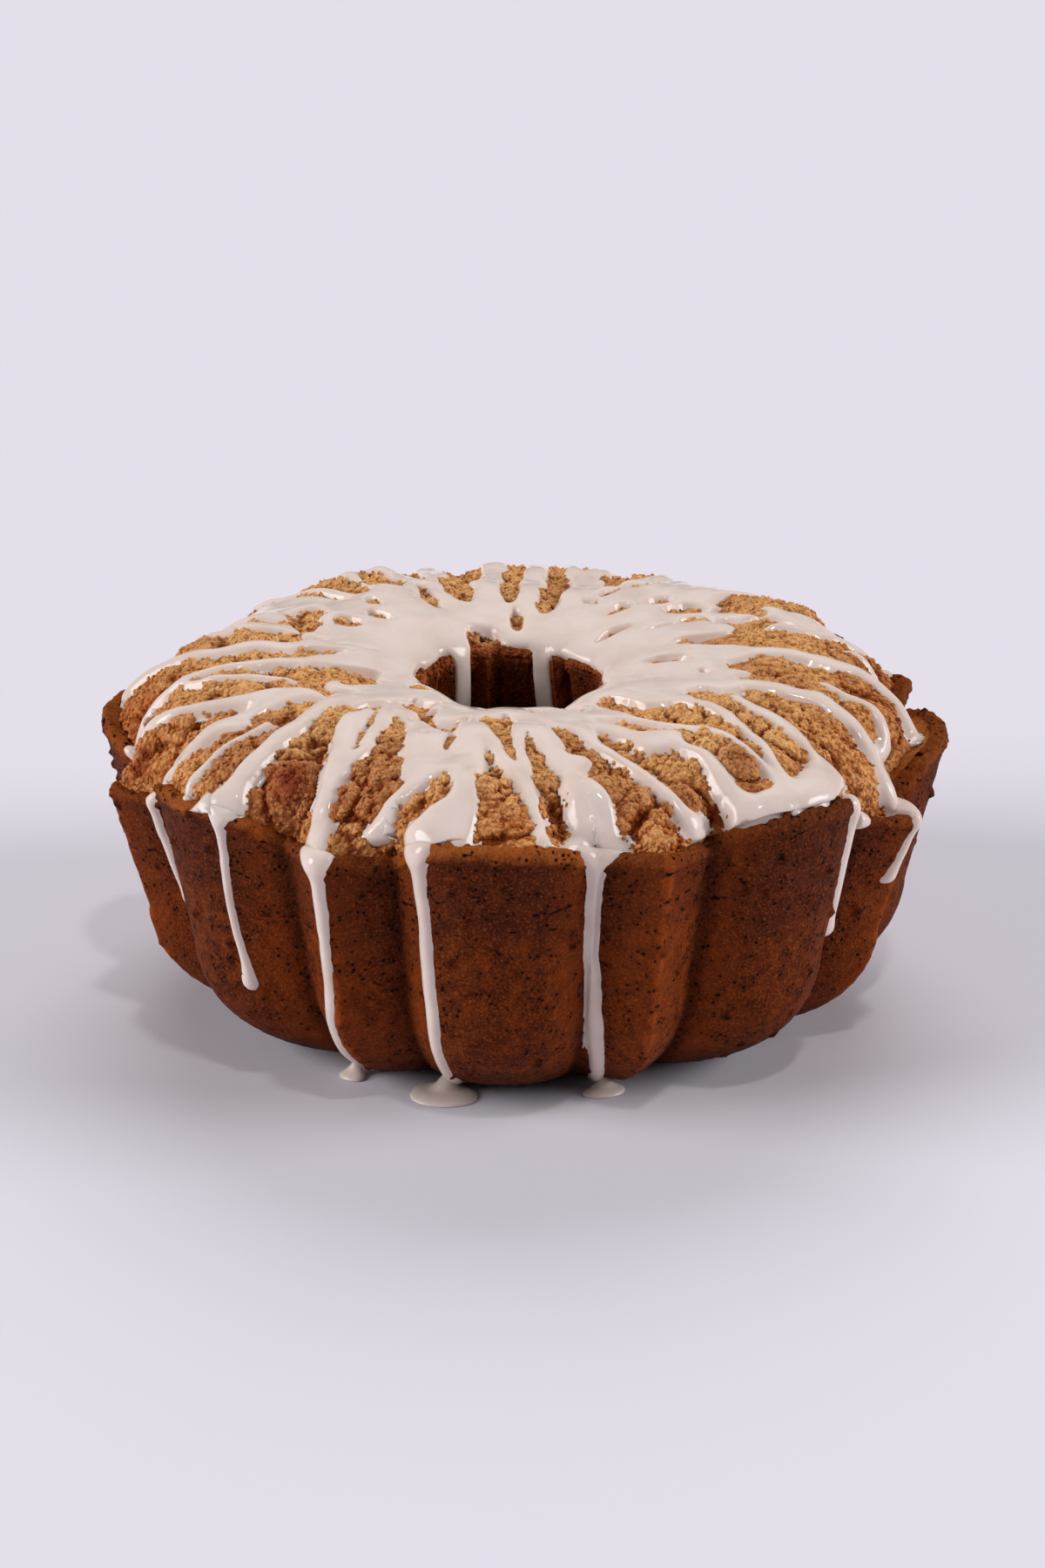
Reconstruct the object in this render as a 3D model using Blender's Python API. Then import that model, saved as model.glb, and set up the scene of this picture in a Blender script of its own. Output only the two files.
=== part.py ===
"""A fluted ring cake that stands baked side up: one solid with a hole through its middle.

Metres, +Z up. The origin is on the table, under the middle of the hole, and the front faces -Y.
"""

import math

import bpy
from mathutils import Vector, noise

# The moulded outside: wide round lobes take turns with narrow sharp ridges.
PAIRS = 8
LOBE_WIDTH = math.radians(28)
RIDGE_WIDTH = math.radians(17)
FIRST_LOBE = math.radians(-4)
FLUTE_DEPTH = 0.0115
RIM_RADIUS = 0.1235
HEEL_RADIUS = 0.1130
HEEL_HEIGHT = 0.036

# How fast each one curves in towards the creases, and how square the heel's curve is.
LOBE_CURVE = 2.4
RIDGE_CURVE = 1.15
CROWN_SQUARENESS = 1.9
CREASE_SQUARENESS = 1.6

# How high the mould's edge shows at the middle of each lobe and ridge, from the front to the right.
LOBE_RIMS = (0.0880, 0.0880, 0.0815, 0.0830, 0.0825, 0.0820, 0.0815, 0.0860)
RIDGE_RIMS = (0.0840, 0.0720, 0.0810, 0.0800, 0.0800, 0.0790, 0.0735, 0.0800)
CREASE_DROP = 0.0050
LOBE_RIM_CURVE = 3.0
RIDGE_RIM_CURVE = 1.5

# The baked top swells into a ring-shaped dome from just inside a rounded lip of crust.
LIP_ROUND = 0.0024
LIP_WIDTH = 0.0070
LIP_DROP = 0.0008
FLUTE_FADE = 6
CREST_RADIUS = 0.068
CREST_HEIGHT = 0.1005
LUMP_HEIGHT = 0.0022
LUMP_WIDTH = 0.021

# The hole widens downwards, and the underside rests on a flat ring.
HOLE_RADIUS = 0.0250
HOLE_EDGE_HEIGHT = 0.0925
HOLE_FOOT_RADIUS = 0.0330
HOLE_FOOT_HEIGHT = 0.0140
HOLE_FLUTE_DEPTH = 0.0018
REST_INNER_RADIUS = 0.056
REST_OUTER_RADIUS = 0.070

# How finely each stretch is divided.
LOBE_STEPS = 8
RIDGE_STEPS = 4
HEEL_STEPS = 7
WALL_STEPS = 5
DOME_OUTER_STEPS = 8
DOME_INNER_STEPS = 7
HOLE_STEPS = 5
HOLE_HEEL_STEPS = 4

CRUST_COLOUR = (0.235, 0.085, 0.030, 1.0)
CRUST_ROUGHNESS = 0.75
SHARP_ANGLE = math.radians(50)


def around():
    """The turns of the sections, as (angle, pair, on a ridge, place from -1 to 1 across it)."""
    turns = []
    for pair in range(PAIRS):
        lobe = FIRST_LOBE + pair * math.tau / PAIRS
        ridge = lobe + (LOBE_WIDTH + RIDGE_WIDTH) / 2
        for step in range(LOBE_STEPS):
            place = 2 * step / LOBE_STEPS - 1
            turns.append((lobe + place * LOBE_WIDTH / 2, pair, False, place))
        for step in range(RIDGE_STEPS):
            place = 2 * step / RIDGE_STEPS - 1
            turns.append((ridge + place * RIDGE_WIDTH / 2, pair, True, place))
    return turns


def crease_rim(pair, before_ridge):
    """The rim's height in the crease on one side of this pair's ridge."""
    lobe = LOBE_RIMS[pair] if before_ridge else LOBE_RIMS[(pair + 1) % PAIRS]
    return (lobe + RIDGE_RIMS[pair]) / 2 - CREASE_DROP


def rim_height(pair, on_ridge, place):
    """The height of the mould's edge, which dips into each crease."""
    if on_ridge:
        crease = crease_rim(pair, before_ridge=place < 0)
        return RIDGE_RIMS[pair] + (crease - RIDGE_RIMS[pair]) * abs(place) ** RIDGE_RIM_CURVE
    beside = pair if place > 0 else (pair - 1) % PAIRS
    crease = crease_rim(beside, before_ridge=place > 0)
    return LOBE_RIMS[pair] + (crease - LOBE_RIMS[pair]) * abs(place) ** LOBE_RIM_CURVE


def lump(angle, radius):
    """Broad unevenness of the baked top."""
    at = Vector((radius * math.sin(angle), -radius * math.cos(angle), 0.0)) / LUMP_WIDTH
    return LUMP_HEIGHT * noise.noise(at)


def eased(start, end, share):
    return start + (end - start) * share


def section(angle, pair, on_ridge, place):
    """One closed section as (radius, height): up the wall, over the dome, down the hole, back below."""
    flute = abs(place) ** (RIDGE_CURVE if on_ridge else LOBE_CURVE)
    rim = rim_height(pair, on_ridge, place)
    heel = HEEL_RADIUS - FLUTE_DEPTH * flute
    edge = RIM_RADIUS - FLUTE_DEPTH * flute
    bulge = eased(CROWN_SQUARENESS, CREASE_SQUARENESS, flute)
    points = []

    # Heel: part of a squared ellipse, from the resting ring to the wall.
    for step in range(HEEL_STEPS):
        turn = step / HEEL_STEPS * math.pi / 2
        out = math.sin(turn) ** (2 / bulge)
        up = 1 - math.cos(turn) ** (2 / bulge)
        points.append((eased(REST_OUTER_RADIUS, heel, out), HEEL_HEIGHT * up))

    # Wall: straight, leaning outwards.
    for step in range(WALL_STEPS + 1):
        share = step / WALL_STEPS
        points.append((eased(heel, edge, share), eased(HEEL_HEIGHT, rim - LIP_ROUND, share)))

    # Lip: the rounded top of the moulded wall.
    points.append((edge - LIP_ROUND, rim))

    # Dome, outer half: it starts fluted, as the lip is, and is plain from halfway to the crest.
    plain_foot = RIM_RADIUS - LIP_WIDTH - FLUTE_DEPTH / 2
    foot_height = rim - LIP_DROP
    for step in range(DOME_OUTER_STEPS):
        turn = (step / DOME_OUTER_STEPS) * math.pi / 2
        out = math.cos(turn)
        radius = eased(CREST_RADIUS, plain_foot, out) + (edge - LIP_WIDTH - plain_foot) * out**FLUTE_FADE
        height = eased(foot_height, CREST_HEIGHT, math.sin(turn))
        share = min(1.0, 2 * step / DOME_OUTER_STEPS)
        points.append((radius, height + share * lump(angle, radius)))

    # Dome, inner half: from the crest to the edge of the hole.
    groove = HOLE_FLUTE_DEPTH * flute
    for step in range(DOME_INNER_STEPS):
        turn = step / DOME_INNER_STEPS * math.pi / 2
        radius = eased(CREST_RADIUS, HOLE_RADIUS + groove, math.sin(turn))
        height = eased(HOLE_EDGE_HEIGHT, CREST_HEIGHT, math.cos(turn))
        share = 1 - step / DOME_INNER_STEPS
        points.append((radius, height + share * lump(angle, radius)))

    # Hole: a fluted wall that leans away from the middle on its way down.
    for step in range(HOLE_STEPS):
        share = step / HOLE_STEPS
        radius = eased(HOLE_RADIUS, HOLE_FOOT_RADIUS, share) + groove
        points.append((radius, eased(HOLE_EDGE_HEIGHT, HOLE_FOOT_HEIGHT, share)))

    # Underside: round from the hole to the inner edge of the resting ring.
    for step in range(HOLE_HEEL_STEPS + 1):
        turn = step / HOLE_HEEL_STEPS * math.pi / 2
        radius = eased(REST_INNER_RADIUS, HOLE_FOOT_RADIUS + groove, math.cos(turn))
        points.append((radius, HOLE_FOOT_HEIGHT * (1 - math.sin(turn))))
    return points


def baked_crust():
    material = bpy.data.materials.new("baked_crust")
    material.use_nodes = True
    shader = material.node_tree.nodes["Principled BSDF"]
    shader.inputs["Base Color"].default_value = CRUST_COLOUR
    shader.inputs["Roughness"].default_value = CRUST_ROUGHNESS
    shader.inputs["Metallic"].default_value = 0.0
    material.diffuse_color = CRUST_COLOUR
    return material


def cake():
    """A torus whose rings become the cake's sections."""
    turns = around()
    sections = [section(*turn) for turn in turns]
    stations = len(sections[0])
    bpy.ops.mesh.primitive_torus_add(
        major_segments=len(turns),
        minor_segments=stations,
        major_radius=CREST_RADIUS,
        minor_radius=HEEL_HEIGHT,
    )
    body = bpy.context.object
    body.name = body.data.name = "cake"
    for index, vertex in enumerate(body.data.vertices):
        turn, station = divmod(index, stations)
        radius, height = sections[turn][station]
        angle = turns[turn][0]
        vertex.co = (radius * math.sin(angle), -radius * math.cos(angle), height)
    body.data.materials.append(baked_crust())
    body.data.shade_smooth()
    body.data.set_sharp_from_angle(angle=SHARP_ANGLE)
    return body


def main():
    for old in list(bpy.data.objects):
        bpy.data.objects.remove(old, do_unlink=True)
    collection = bpy.data.collections.new("fluted_ring_cake")
    bpy.context.scene.collection.children.link(collection)
    body = cake()
    for holder in list(body.users_collection):
        holder.objects.unlink(body)
    collection.objects.link(body)


main()
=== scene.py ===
import math

import bmesh
import bpy
import numpy as np
from mathutils import Matrix


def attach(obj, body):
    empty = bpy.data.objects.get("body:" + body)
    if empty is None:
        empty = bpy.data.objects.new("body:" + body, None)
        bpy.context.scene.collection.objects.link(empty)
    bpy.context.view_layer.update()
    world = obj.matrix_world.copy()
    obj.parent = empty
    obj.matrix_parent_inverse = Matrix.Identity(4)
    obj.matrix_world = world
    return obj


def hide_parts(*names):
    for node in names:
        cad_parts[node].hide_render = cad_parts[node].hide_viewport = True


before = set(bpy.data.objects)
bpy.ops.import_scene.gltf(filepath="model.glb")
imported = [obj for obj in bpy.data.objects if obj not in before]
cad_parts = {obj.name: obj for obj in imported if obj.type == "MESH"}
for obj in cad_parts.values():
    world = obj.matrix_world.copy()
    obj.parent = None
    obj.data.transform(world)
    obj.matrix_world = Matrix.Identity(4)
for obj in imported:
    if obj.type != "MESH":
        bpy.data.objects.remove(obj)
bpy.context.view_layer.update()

# Sizes of the moulded crust, in metres and degrees. They are the solid's, apart from the lip's: its
# width, its roundness and the mean height of the rim are this script's own.
PAIRS = 8
PAIR_TURN = 360 / PAIRS
LOBE_WIDTH = 28.0
RIDGE_WIDTH = 17.0
FIRST_LOBE = -4.0
FLUTE_DEPTH = 0.0115
RIM_RADIUS = 0.1235
RIM_HEIGHT = 0.0840
HEEL_RADIUS = 0.1130
HEEL_HEIGHT = 0.036
LOBE_RIMS = (0.0880, 0.0880, 0.0815, 0.0830, 0.0825, 0.0820, 0.0815, 0.0860)
RIDGE_RIMS = (0.0840, 0.0720, 0.0810, 0.0800, 0.0800, 0.0790, 0.0735, 0.0800)
CREASE_DROP = 0.0050
LOBE_CURVE = 2.4
RIDGE_CURVE = 1.15
LOBE_RIM_CURVE = 3.0
RIDGE_RIM_CURVE = 1.5
CROWN_SQUARENESS = 1.9
CREASE_SQUARENESS = 1.6
RIM_PALENESS = (1.0, 0.15, 0.5, 0.4, 0.6, 0.45, 0.7, 0.95)
RIDGE_PALENESS = 0.3
LIP_ROUND = 0.0017
LIP_WIDTH = 0.0036
BEAD_HEIGHT = 0.0048
SHELF_WIDTH = 0.007
CREST_RADIUS = 0.068
CREST_HEIGHT = 0.1005
HOLE_RADIUS = 0.0250
HOLE_EDGE_HEIGHT = 0.0925
HOLE_FOOT_RADIUS = 0.0330
HOLE_FOOT_HEIGHT = 0.0140
HOLE_FLUTE_DEPTH = 0.0018
REST_INNER_RADIUS = 0.056
REST_OUTER_RADIUS = 0.070

# Corners of the sections that lie hidden inside the cake, as (radius, height).
UNDERSIDE = (0.060, 0.0)
WALL_CORE = (0.085, 0.020)
HOLE_CORE = (0.036, 0.088)
HOLE_CORE_FOOT = (0.060, 0.012)

# How finely the wall and the hole are divided round the cake.
COLUMNS = 900
HOLE_COLUMNS = 480
MM = 0.001

# Reach: how far along the skin a place lies from the hole's middle, in mm. Inside the hole it is
# less than 25, and on the wall it is 120 and the drop below the rim.
HOLE_REACH = 25.0
CREST_REACH = 68.0
FOOT_REACH = 113.0
RIM_REACH = 120.0


def hex_colour(code):
    """An sRGB hex value such as 8a4b22 as linear red, green, blue and a full alpha."""
    values = [int(code[i : i + 2], 16) / 255 for i in (0, 2, 4)]
    return [v / 12.92 if v <= 0.04045 else ((v + 0.055) / 1.055) ** 2.4 for v in values] + [1.0]


def add(tree, kind, *values, out=0, named=None, **settings):
    """Adds a node with its settings, fills its inputs in order or by name, and gives one output."""
    made = tree.nodes.new(kind)
    for name, value in settings.items():
        setattr(made, name, value)
    filled = [(made.inputs[i], value) for i, value in enumerate(values) if value is not None]
    filled += [(made.inputs[name], value) for name, value in (named or {}).items()]
    for socket, value in filled:
        if isinstance(value, bpy.types.NodeSocket):
            tree.links.new(value, socket)
        else:
            socket.default_value = value
    return made.outputs[out]


# Noise on arrays of points


def lattice_random(cells, seed):
    """One even random number from 0 to 1 for each whole-numbered cell."""
    mixed = cells.astype(np.int64) @ np.array([73856093, 19349663, 83492791]) + seed * 2654435761
    mixed = (mixed ^ (mixed >> 13)) * 1274126177 & 0xFFFFFFFF
    mixed = (mixed ^ (mixed >> 16)) * 2246822519 & 0xFFFFFFFF
    return (mixed ^ (mixed >> 15)) / 0xFFFFFFFF


def noise(points, size, seed):
    """Smooth noise of about -1 to 1 whose bumps are about this wide."""
    place = points / size
    cell = np.floor(place)
    part = place - cell
    ease = part**3 * (part * (part * 6 - 15) + 10)
    total = np.zeros(points.shape[:-1])
    for corner in np.ndindex(2, 2, 2):
        corner = np.array(corner)
        weight = np.prod(np.where(corner == 1, ease, 1 - ease), axis=-1)
        total += weight * lattice_random(cell + corner, seed)
    return 2 * total - 1


def grains(points, size, seed):
    """How far each point is from the nearest grain's middle, with 0 there and about 1 between grains."""
    place = points / size
    cell = np.floor(place)
    nearest = np.full(points.shape[:-1], 9.0)
    for step in np.ndindex(3, 3, 3):
        near = cell + np.array(step) - 1
        middle = near + np.stack([lattice_random(near, seed + axis) for axis in range(3)], axis=-1)
        nearest = np.minimum(nearest, np.sum((place - middle) ** 2, axis=-1))
    return np.sqrt(nearest)


def blurred(field, across, along):
    """The field (columns round the cake, rows along the section) softened by this many cells."""
    for axis, reach in ((0, across), (1, along)):
        offsets = np.arange(-3 * reach, 3 * reach + 1)
        weights = np.exp(-0.5 * (offsets / reach) ** 2)
        weights /= weights.sum()
        edge = [(0, 0)] * field.ndim
        edge[axis] = (3 * reach, 3 * reach)
        padded = np.pad(field, edge, mode="wrap" if axis == 0 else "edge")
        field = sum(
            weight * np.take(padded, range(i, i + field.shape[axis]), axis)
            for i, weight in enumerate(weights)
        )
    return field


# The cake's form


def eased(start, end, share):
    """The value this share of the way from the start to the end."""
    return start + (end - start) * share


def turn_from(degrees, azimuth):
    """How far each azimuth lies from this one, from -180 to 180 degrees."""
    return (degrees - azimuth + 180) % 360 - 180


def flute_place(degrees):
    """Where an azimuth lies on its lobe or ridge: the pair, on a ridge or not, and -1 to 1 across."""
    turn = (degrees - FIRST_LOBE + LOBE_WIDTH / 2) % 360
    pair = (turn // PAIR_TURN).astype(int)
    within = turn - pair * PAIR_TURN
    on_ridge = within > LOBE_WIDTH
    lobe_place = within / (LOBE_WIDTH / 2) - 1
    ridge_place = (within - LOBE_WIDTH) / (RIDGE_WIDTH / 2) - 1
    return pair, on_ridge, np.where(on_ridge, ridge_place, lobe_place)


def flute_share(degrees):
    """0 on the crown of a lobe or the edge of a ridge, and 1 in a crease."""
    _, on_ridge, place = flute_place(degrees)
    return np.where(on_ridge, np.abs(place) ** RIDGE_CURVE, np.abs(place) ** LOBE_CURVE)


def rim_height(degrees):
    """The height of the mould's edge, which dips into each crease."""
    pair, on_ridge, place = flute_place(degrees)
    lobes, ridges = np.array(LOBE_RIMS), np.array(RIDGE_RIMS)
    after = (lobes[pair] + ridges[pair]) / 2 - CREASE_DROP
    before = (lobes[pair] + ridges[pair - 1]) / 2 - CREASE_DROP
    beyond = (lobes[(pair + 1) % PAIRS] + ridges[pair]) / 2 - CREASE_DROP
    crease = np.where(on_ridge, np.where(place < 0, after, beyond), np.where(place < 0, before, after))
    middle = np.where(on_ridge, ridges[pair], lobes[pair])
    curve = np.where(on_ridge, RIDGE_RIM_CURVE, LOBE_RIM_CURVE)
    return middle + (crease - middle) * np.abs(place) ** curve


def arc(start, end, steps, squareness=2.0, rising=True):
    """Points on a quarter of a squared ellipse, which leaves the start level and arrives upright."""
    turn = np.arange(steps) / steps * math.pi / 2
    out = np.sin(turn) ** (2 / squareness)
    up = 1 - np.cos(turn) ** (2 / squareness)
    if not rising:
        out, up = 1 - np.cos(turn) ** (2 / squareness), np.sin(turn) ** (2 / squareness)
    return np.stack([eased(start[0], end[0], out), eased(start[1], end[1], up)], axis=-1)


def straight(start, end, steps):
    """Points on a straight line, from the start to one step before the end."""
    share = (np.arange(steps) / steps)[:, None]
    return np.array(start) + (np.array(end) - np.array(start)) * share


def path(*corners):
    """Straight lines through corners, each given as (radius, height, steps to the next)."""
    return [straight(here[:2], after[:2], here[2]) for here, after in zip(corners, corners[1:])]


def wall_section(flute):
    """The wall's closed section at a crown (0) or a crease (1), as rows of (radius, height)."""
    heel = HEEL_RADIUS - FLUTE_DEPTH * flute
    edge = RIM_RADIUS - FLUTE_DEPTH * flute
    shelf = edge - SHELF_WIDTH
    squareness = eased(CROWN_SQUARENESS, CREASE_SQUARENESS, flute)
    wall = path(
        (heel, HEEL_HEIGHT, 36),
        (edge - 0.0008, RIM_HEIGHT - BEAD_HEIGHT, 2),
        (edge + 0.0003, RIM_HEIGHT - 0.0036, 2),
        (edge, RIM_HEIGHT - LIP_ROUND, 0),
    )
    # From the top of the lip it goes in under the dome, and through the cake back to the table.
    back = path(
        (edge - LIP_ROUND, RIM_HEIGHT, 3),
        (edge - 0.0042, RIM_HEIGHT - 0.0006, 4),
        (shelf, RIM_HEIGHT - 0.0026, 8),
        (shelf - 0.010, RIM_HEIGHT - 0.0044, 5),
        (*WALL_CORE, 5),
        (*UNDERSIDE, 0),
    )
    foot = (REST_OUTER_RADIUS, 0.0)
    return np.concatenate(
        [
            straight(UNDERSIDE, foot, 5),
            arc(foot, (heel, HEEL_HEIGHT), 34, squareness),
            *wall,
            arc((edge, RIM_HEIGHT - LIP_ROUND), (edge - LIP_ROUND, RIM_HEIGHT), 5, rising=False),
            *back,
        ]
    )


def hole_section(flute):
    """The closed section of the hole's wall and the inner underside."""
    groove = 1.5 * HOLE_FLUTE_DEPTH * flute
    foot = (HOLE_FOOT_RADIUS + groove, HOLE_FOOT_HEIGHT)
    down = path((*HOLE_CORE, 4), (HOLE_RADIUS + groove, HOLE_EDGE_HEIGHT - 0.0012, 44), (*foot, 0))
    back = path((REST_INNER_RADIUS, 0.0, 4), (*UNDERSIDE, 2), (*HOLE_CORE_FOOT, 6), (*HOLE_CORE, 0))
    return np.concatenate([*down, hole_heel(foot), *back])


def hole_heel(foot):
    """The underside's curve from the hole's foot to the ring that the cake rests on."""
    turn = np.arange(14) / 14 * math.pi / 2
    radius = eased(REST_INNER_RADIUS, foot[0], np.cos(turn))
    return np.stack([radius, foot[1] * (1 - np.sin(turn))], axis=-1)


# Making meshes


def new_object(name, mesh):
    """Puts a mesh into the scene."""
    made = bpy.data.objects.new(name, mesh)
    bpy.context.scene.collection.objects.link(made)
    return made


def mesh_object(name, points, faces, material=None, **attributes):
    """A smooth mesh from arrays, with a float attribute for each further array."""
    mesh = bpy.data.meshes.new(name)
    faces = np.asarray(faces)
    mesh.vertices.add(len(points))
    mesh.vertices.foreach_set("co", np.asarray(points, np.float32).ravel())
    mesh.loops.add(faces.size)
    mesh.loops.foreach_set("vertex_index", faces.ravel().astype(np.int32))
    mesh.polygons.add(len(faces))
    mesh.polygons.foreach_set("loop_start", np.arange(0, faces.size, faces.shape[1], dtype=np.int32))
    mesh.update(calc_edges=True)
    mesh.validate()
    for key, values in attributes.items():
        layer = mesh.attributes.new(key, "FLOAT", "POINT")
        layer.data.foreach_set("value", np.asarray(values, np.float32).ravel())
    mesh.shade_smooth()
    if material:
        mesh.materials.append(material)
    return new_object(name, mesh)


def baked_mesh(thing):
    """Turns an object's modifiers into plain mesh and removes them."""
    graph = bpy.context.evaluated_depsgraph_get()
    mesh = bpy.data.meshes.new_from_object(thing.evaluated_get(graph))
    thing.modifiers.clear()
    old = thing.data
    thing.data = mesh
    bpy.data.meshes.remove(old)
    mesh.name = thing.name
    return thing


def new_tree(name, inputs):
    """A Geometry Nodes tree with these named inputs, and the outputs that give them inside it."""
    tree = bpy.data.node_groups.new(name, "GeometryNodeTree")
    face = tree.interface
    face.new_socket("Geometry", in_out="INPUT", socket_type="NodeSocketGeometry")
    for key, (kind, value) in inputs.items():
        socket = face.new_socket(key, in_out="INPUT", socket_type="NodeSocket" + kind)
        if value is not None:
            socket.default_value = value
    face.new_socket("Geometry", in_out="OUTPUT", socket_type="NodeSocketGeometry")
    return tree, tree.nodes.new("NodeGroupInput").outputs


def shaped(thing, tree, values):
    """Runs a Geometry Nodes tree on an object with these inputs, and bakes what it makes."""
    nodes = thing.modifiers.new(tree.name, "NODES")
    nodes.node_group = tree
    for item in tree.interface.items_tree:
        if item.item_type == "SOCKET" and item.in_out == "INPUT" and item.name in values:
            nodes[item.identifier] = values[item.name]
    return baked_mesh(thing)


def ring_faces(columns, rows):
    """Quads of a closed ring whose sections are closed too, facing outwards."""
    column, row = np.meshgrid(np.arange(columns), np.arange(rows), indexing="ij")
    beside, above = (column + 1) % columns, (row + 1) % rows
    corners = (column * rows + row, beside * rows + row, beside * rows + above, column * rows + above)
    return np.stack([corner.ravel() for corner in corners], axis=-1)


def turned(radius, height, degrees):
    """Points at this azimuth from the front, positive to the right."""
    radius, height, angle = np.broadcast_arrays(radius, height, np.radians(degrees))
    return np.stack([radius * np.sin(angle), -radius * np.cos(angle), height], axis=-1)


# Materials


def new_finish(name, roughness):
    """A new material, its tree and its shader."""
    material = bpy.data.materials.new(name)
    material.use_nodes = True
    shader = material.node_tree.nodes["Principled BSDF"]
    shader.inputs["Roughness"].default_value = roughness
    return material, material.node_tree, shader


def painted(tree, body, *layers):
    """Lays colours over one another, each given as (how much of it shows, its hex value or its node)."""
    for share, colour in layers:
        over = hex_colour(colour) if isinstance(colour, str) else colour
        body = add(tree, "ShaderNodeMixRGB", share, body, over)
    return body


def moulded_crust():
    """Brown crust baked against metal: satin, finely pored, darker and coarser near the rim."""
    material, tree, shader = new_finish("baked_crust_moulded", 0.6)
    shader.inputs["Specular IOR Level"].default_value = 0.05
    place = add(tree, "ShaderNodeTexCoord", out=3)
    height = add(tree, "ShaderNodeSeparateXYZ", place, out=2)
    level, flute, ridge, pore, at_lip, pale, inside = (
        add(tree, "ShaderNodeAttribute", attribute_name=name, out=2)
        for name in ("level", "flute", "ridge", "pore", "lip", "pale", "inside")
    )

    # Scales are bumps per metre. Patches are 22 mm wide (45), the mottle 4.5 mm (220), the grit
    # 0.8 mm (1300), pits 1.9 mm apart (520), and tears 5.3 mm long (190) and flattened.
    patches = add(tree, "ShaderNodeTexNoise", place, named={"Scale": 45.0, "Detail": 3.0})
    mottle = add(tree, "ShaderNodeTexNoise", place, named={"Scale": 220.0, "Detail": 4.0, "Roughness": 0.65})
    grit = add(tree, "ShaderNodeTexNoise", place, named={"Scale": 1300.0, "Detail": 2.0})
    pits = add(tree, "ShaderNodeTexVoronoi", place, named={"Scale": 520.0, "Randomness": 1.0})
    flat = add(tree, "ShaderNodeMapping", place, named={"Scale": (1.0, 1.0, 2.6)})
    tears = add(tree, "ShaderNodeTexNoise", flat, named={"Scale": 190.0, "Detail": 2.0})

    # Upper third: coarser, darker and a little purple, with a swirling lower edge.
    uneven = add(tree, "ShaderNodeMath", patches, 0.050, -0.025, operation="MULTIPLY_ADD")
    swirled = add(tree, "ShaderNodeMath", level, uneven, operation="ADD")
    upper = add(tree, "ShaderNodeMapRange", swirled, 0.052, 0.062, 0.0, 1.0)
    tone = add(tree, "ShaderNodeMapRange", mottle, 0.40, 0.62, 0.0, 0.75)
    light = add(tree, "ShaderNodeMapRange", grit, 0.54, 0.72, 0.0, 0.45)
    dark = add(tree, "ShaderNodeMapRange", grit, 0.47, 0.34, 0.0, 0.5)

    # Arrises of the ridges are paler and warmer, partly from more heat and partly a painted highlight on the
    # edge; the lip is paler; the foot is darker, which is painted shade.
    ragged_arris_distance = add(tree, "ShaderNodeMath", mottle, 0.30, -0.16, operation="MULTIPLY_ADD")
    ragged_arris_distance = add(tree, "ShaderNodeMath", flute, ragged_arris_distance, operation="ADD")
    tip = add(tree, "ShaderNodeMapRange", ragged_arris_distance, 0.0, 0.07, 0.6, 0.0)
    warm = add(tree, "ShaderNodeMapRange", flute, 0.05, 0.75, 0.22, 0.0)
    tip = add(tree, "ShaderNodeMath", tip, warm, operation="MAXIMUM")
    tip = add(tree, "ShaderNodeMath", tip, ridge, operation="MULTIPLY")
    uneven = add(tree, "ShaderNodeMath", mottle, 0.7, -0.35, operation="MULTIPLY_ADD")
    uneven = add(tree, "ShaderNodeMath", patches, 1.2, uneven, operation="MULTIPLY_ADD")
    uneven = add(tree, "ShaderNodeMath", uneven, 0.6, operation="SUBTRACT")
    high = add(tree, "ShaderNodeMapRange", level, 0.0735, 0.0845, 0.0, 0.6)
    lip = add(tree, "ShaderNodeMath", at_lip, 0.4, high, operation="MULTIPLY_ADD")
    lip = add(tree, "ShaderNodeMath", lip, uneven, operation="ADD")
    lip = add(tree, "ShaderNodeMapRange", lip, 0.40, 0.75, 0.0, 0.9)
    lip = add(tree, "ShaderNodeMath", lip, pale, operation="MULTIPLY")
    lip_colour = add(tree, "ShaderNodeMixRGB", grit, hex_colour("6e2b0e"), hex_colour("c26e2f"))
    crumbly = add(tree, "ShaderNodeMixRGB", tone, hex_colour("c27a3c"), hex_colour("8c4219"))
    # Painted light: the lobes' flanks are painted a lighter orange, fading out before the crease and left off
    # the ridges.
    painted_flank_light = add(tree, "ShaderNodeMapRange", flute, 0.15, 0.6, 0.0, 0.25)
    shadowed = add(tree, "ShaderNodeMapRange", flute, 0.95, 0.6, 0.0, 1.0)
    painted_flank_light = add(tree, "ShaderNodeMath", painted_flank_light, shadowed, operation="MULTIPLY")
    not_ridge = add(tree, "ShaderNodeMath", 1.0, ridge, operation="SUBTRACT")
    painted_flank_light = add(tree, "ShaderNodeMath", painted_flank_light, not_ridge, operation="MULTIPLY")
    # Painted shade: the creases are painted darker towards their deepest line.
    crease = add(tree, "ShaderNodeMapRange", flute, 0.72, 1.0, 0.0, 0.45)
    # Painted shade: the crust is painted darker close to the table.
    foot = add(tree, "ShaderNodeMapRange", height, 0.002, 0.016, 0.8, 0.0)

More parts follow.
